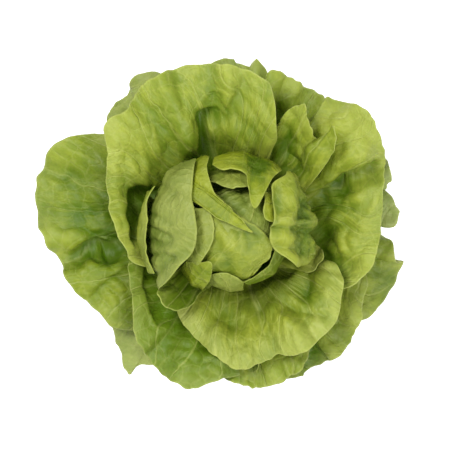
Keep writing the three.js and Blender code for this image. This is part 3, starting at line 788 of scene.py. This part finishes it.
class Paint:
    """A material and the nodes in it."""

    def __init__(self, name):
        self.material = bpy.data.materials.new(name)
        self.material.use_nodes = True
        self.tree = self.material.node_tree
        self.tree.nodes.clear()

    def node(self, kind, settings=None, inputs=None):
        """Adds a node, sets its settings first, then gives its sockets values or links."""
        made = self.tree.nodes.new(kind)
        for key, value in (settings or {}).items():
            setattr(made, key, value)
        for key, value in (inputs or {}).items():
            value = value.socket if isinstance(value, Number) else value
            if isinstance(value, bpy.types.NodeSocket):
                self.tree.links.new(value, made.inputs[key])
            else:
                made.inputs[key].default_value = value
        return made

    def math(self, operation, *values):
        """A number worked out by one Math node."""
        made = self.node("ShaderNodeMath", {"operation": operation}, dict(enumerate(values)))
        return Number(self, made.outputs[0])

    def step(self, value, low, high):
        """A smooth step from 0 at low to 1 at high."""
        inputs = {"Value": value, "From Min": low, "From Max": high}
        made = self.node("ShaderNodeMapRange", {"interpolation_type": "SMOOTHSTEP"}, inputs)
        return Number(self, made.outputs["Result"])

    def mix(self, share, first, second):
        """A colour between two colours, at a share of the way from the first to the second."""
        made = self.node("ShaderNodeMix", {"data_type": "RGBA"}, {"Factor": share})
        for socket, value in ((made.inputs[MIX_FIRST], first), (made.inputs[MIX_SECOND], second)):
            if isinstance(value, bpy.types.NodeSocket):
                self.tree.links.new(value, socket)
            else:
                socket.default_value = (*value, 1)
        return made.outputs[MIX_RESULT]

    def attribute(self, name):
        """Three numbers that the mesh holds at each point."""
        return self.node("ShaderNodeAttribute", {"attribute_name": name}).outputs["Vector"]

    def parts(self, vector):
        """The three numbers of a vector."""
        made = self.node("ShaderNodeSeparateXYZ", None, {"Vector": vector})
        return [Number(self, socket) for socket in made.outputs]

    def noise(self, vector, scale, detail=2):
        """Cloudy noise between 0 and 1."""
        made = self.node("ShaderNodeTexNoise", None, {"Vector": vector, "Scale": scale, "Detail": detail})
        return Number(self, made.outputs["Fac"])

    def surface(self, shader):
        """Puts a shader on the surface and gives the finished material."""
        self.node("ShaderNodeOutputMaterial", None, {"Surface": shader.outputs[0]})
        return self.material


def linear(red, green, blue):
    """A colour of 0 to 255 on screen as linear light, dimmed to suit the light of this studio."""
    return tuple(DIMMING * ((part / 255 + 0.055) / 1.055) ** 2.4 for part in (red, green, blue))


def vein_mask(paint, flat, ribs, away, out, vein_angle):
    """1 on the midrib, less on the main veins and least on the fine net between them, and 0 elsewhere.

    A main vein runs wherever the count of ribs, shaken a little, is a whole number. The midrib narrows
    towards the rim. The net is the borders of scattered cells, in a plan that is shaken too.
    """
    aside = paint.parts(flat)[1]
    shaken = ribs + MAIN_VEIN_SHAKE * (paint.noise(flat, scale=0.06, detail=3) - 0.5)
    from_vein = 0.5 - abs(paint.math("FRACT", shaken) - 0.5)
    main_vein = 1 - paint.step(from_vein * away * np.radians(vein_angle), *MAIN_VEIN)
    midrib = 1 - paint.step(abs(aside) + MIDRIB_TAPER * out, *MIDRIB)
    swirl = paint.node("ShaderNodeTexNoise", None, {"Vector": flat, "Scale": 0.09, "Detail": 2})
    shaken_plan = paint.node("ShaderNodeVectorMath", {"operation": "MULTIPLY_ADD"},
                             {0: swirl.outputs["Color"], 1: NET_SHAKE, 2: flat})
    cells = paint.node("ShaderNodeTexVoronoi", {"feature": "DISTANCE_TO_EDGE"},
                       {"Vector": shaken_plan.outputs[0], "Scale": NET_SCALE})
    net = 1 - paint.step(Number(paint, cells.outputs["Distance"]), *NET_VEIN)
    fine_veins = paint.math("MAXIMUM", MAIN_VEIN_SHARE * main_vein, NET_SHARE * net)
    return paint.math("MAXIMUM", midrib, fine_veins)


def leaf_colour(paint, skin, shade, green, out, veins, streak, blotch, speck):
    """Two greens in blotches and streaks with pale veins, over to a leaf's back by the shade.

    Specks are deeper, and the root and the very rim are pale. green is painted shade, which lays on deeper
    green towards the root and in hollows, and a painted sheen lies in blotches on the outer part.
    """
    # Painted shade: the tone sinks to the deep green where green is high, towards the root and in hollows.
    tone = 0.6 + 0.4 * blotch + 0.3 * streak - green
    darker = paint.math("MAXIMUM", -1 * shade, 0)
    paler = paint.math("MAXIMUM", shade, 0)
    plain = paint.mix(tone, skin["deep"], skin["fresh"])
    plain = paint.mix(darker, plain, skin["deep"])
    plain = paint.mix((0.45 - 0.3 * green) * veins, plain, skin["vein"])
    pale = paint.mix(0.6 - 0.6 * tone, skin["back"], skin["deep"])
    pale = paint.mix(0.35 * veins, pale, skin["vein"])
    colour = paint.mix(paler, plain, pale)
    colour = paint.mix(0.2 * paint.step(speck, low=0.45, high=0.75), colour, skin["deep"])
    # Painted sheen: blotches of the back's pale colour on the outer part of the leaf.
    colour = paint.mix(0.3 * blotch * paint.step(out, low=0.78, high=1), colour, skin["back"])
    colour = paint.mix(0.5 - 0.5 * paint.step(out, low=0, high=0.2), colour, skin["vein"])
    return paint.mix(0.35 * paint.step(out, low=0.985, high=0.999), colour, skin["vein"])


def leaf_paint(slot_name, vein_angle):
    """Leaf skin: veined and blotched greens, a fine grain, streaks along the veins and a soft gloss.

    The shade runs from a dark leaf at -1 over a plain one at 0 to the skin of a leaf's back at 1. A share
    of the light comes through the blade.
    """
    skin = {key: linear(*colour) for key, colour in SKIN[slot_name].items()}
    paint = Paint(slot_name + "_skin")
    flat = paint.attribute("flat")
    ribs, away, out = paint.parts(paint.attribute("ribs"))
    # green carries painted shade: how far the skin is laid deeper green towards the root and in hollows.
    shade, sunk, green = paint.parts(paint.attribute("look"))
    veins = vein_mask(paint, flat, ribs, away, out, vein_angle)
    fan = paint.node("ShaderNodeCombineXYZ", None, {0: 2.2 * ribs, 1: 0.03 * away, 2: 0.01 * out})
    streak = paint.step(paint.noise(fan.outputs[0], scale=2.6, detail=4), low=0.4, high=0.7)
    blotch = paint.step(paint.noise(flat, scale=0.022), low=0.34, high=0.66)
    speck = paint.noise(flat, scale=0.45, detail=4)
    grain = paint.noise(flat, scale=0.22, detail=5)
    relief = 0.85 * grain + 0.35 * speck + 0.5 * streak - 0.6 * sunk * veins
    bump = paint.node("ShaderNodeBump", None, {"Strength": 0.75, "Distance": 0.001, "Height": relief})
    face = paint.node("ShaderNodeBsdfPrincipled", None, {
        "Base Color": leaf_colour(paint, skin, shade, green, out, veins, streak, blotch, speck),
        "Roughness": 0.42 + 0.2 * speck,
        "Normal": bump.outputs[0],
        "Specular IOR Level": 0.35})
    through = paint.node("ShaderNodeBsdfTranslucent", None, {"Color": (*skin["through"], 1)})
    return paint.surface(paint.node("ShaderNodeMixShader", None, {
        0: THROUGH_SHARE, 1: face.outputs[0], 2: through.outputs[0]}))


def stem_paint():
    """Pale cut stem: greenish white, with a browner ring towards the rim of the cut and fine fibres."""
    paint = Paint("stem_flesh")
    place = paint.node("ShaderNodeTexCoord").outputs["Object"]
    x, y = paint.parts(place)[:2]
    radius = paint.math("SQRT", x * x + y * y)
    fibre = paint.noise(place, scale=900, detail=4)
    ring = paint.step(radius + 0.002 * fibre, low=RING_FROM, high=RING_FULL)
    colour = paint.mix(0.75 * ring, linear(*STEM_FLESH), linear(*STEM_RING))
    colour = paint.mix(0.3 * fibre, colour, linear(*STEM_FIBRE))
    bump = paint.node("ShaderNodeBump", None, {"Strength": 0.4, "Distance": 0.0006, "Height": fibre})
    return paint.surface(paint.node("ShaderNodeBsdfPrincipled", None, {
        "Base Color": colour, "Roughness": 0.42 + 0.2 * fibre, "Normal": bump.outputs[0]}))


def floor_paint():
    """Matt pale board that glows a little, so that it stays white under the leaves' shadow."""
    paint = Paint("pale_floor")
    return paint.surface(paint.node("ShaderNodeBsdfPrincipled", None, {
        "Base Color": (FLOOR_GREY, FLOOR_GREY, FLOOR_GREY, 1), "Roughness": 0.9,
        "Emission Color": (1, 1, 1, 1), "Emission Strength": FLOOR_GLOW}))


def leaves():
    """Every leaf with the skin of its kind, its kind's look and what is its own in that look."""
    outer = leaf_paint("outer_leaf", LOOK["vein_angle"])
    large = leaf_paint("large_leaf", LOOK["vein_angle"])
    heart = leaf_paint("heart_leaf", HEART_LOOK["vein_angle"])
    for number, leaf in enumerate(SPREADING, start=1):
        is_outer = leaf["name"].startswith("outer")
        look = LOOK | OWN_LOOK.get(leaf["name"], {})
        skin, slot_name = (outer, "outer_leaf") if is_outer else (large, "large_leaf")
        leaf_piece(leaf, "spreading", look, skin, SEED_STEP * number)
    for number, leaf in enumerate(HEART, start=FIRST_HEART_SEED):
        look = HEART_LOOK | OWN_LOOK.get(leaf["name"], {})
        leaf_piece(leaf, "heart", look, heart, SEED_STEP * number)


def studio():
    """A wide pale floor, soft lamps to the upper left and lower right, and an even white surround."""
    corners = [(x * FLOOR_HALF, y * FLOOR_HALF, 0) for x, y in ((-1, -1), (1, -1), (1, 1), (-1, 1))]
    mesh = bpy.data.meshes.new("floor")
    mesh.from_pydata(corners, [], [(0, 1, 2, 3)])
    mesh.materials.append(floor_paint())
    floor = bpy.data.objects.new("floor", mesh)
    bpy.context.scene.collection.objects.link(floor)
    for lamp in LAMPS:
        light = bpy.data.lights.new(lamp["name"], "AREA")
        light.size = lamp["size"]
        light.energy = lamp["power"]
        stand = bpy.data.objects.new(lamp["name"], light)
        stand.location = lamp["place"]
        stand.rotation_euler = (-Vector(lamp["place"])).to_track_quat("-Z", "Y").to_euler()
        bpy.context.scene.collection.objects.link(stand)
    world = bpy.data.worlds.new("surround")
    world.use_nodes = True
    surround = world.node_tree.nodes["Background"]
    surround.inputs["Color"].default_value = (1, 1, 1, 1)
    surround.inputs["Strength"].default_value = SURROUND_STRENGTH
    bpy.context.scene.world = world
    bpy.context.scene.view_settings.view_transform = "Standard"


def camera():
    """Straight down from far above, at the photograph's scale across its pixels."""
    lens = bpy.data.cameras.new("camera")
    lens.sensor_width = SENSOR_WIDTH
    lens.lens = SENSOR_WIDTH * VIEW_DISTANCE / (PIXEL * PIXELS)
    lens.clip_end = VIEW_END
    eye = bpy.data.objects.new("camera", lens)
    eye.location = (*VIEW_MIDDLE, VIEW_HEIGHT + VIEW_DISTANCE)
    bpy.context.scene.collection.objects.link(eye)
    bpy.context.scene.camera = eye


camera()
studio()
leaves()
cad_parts["stem"].data.materials.clear()
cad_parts["stem"].data.materials.append(stem_paint())
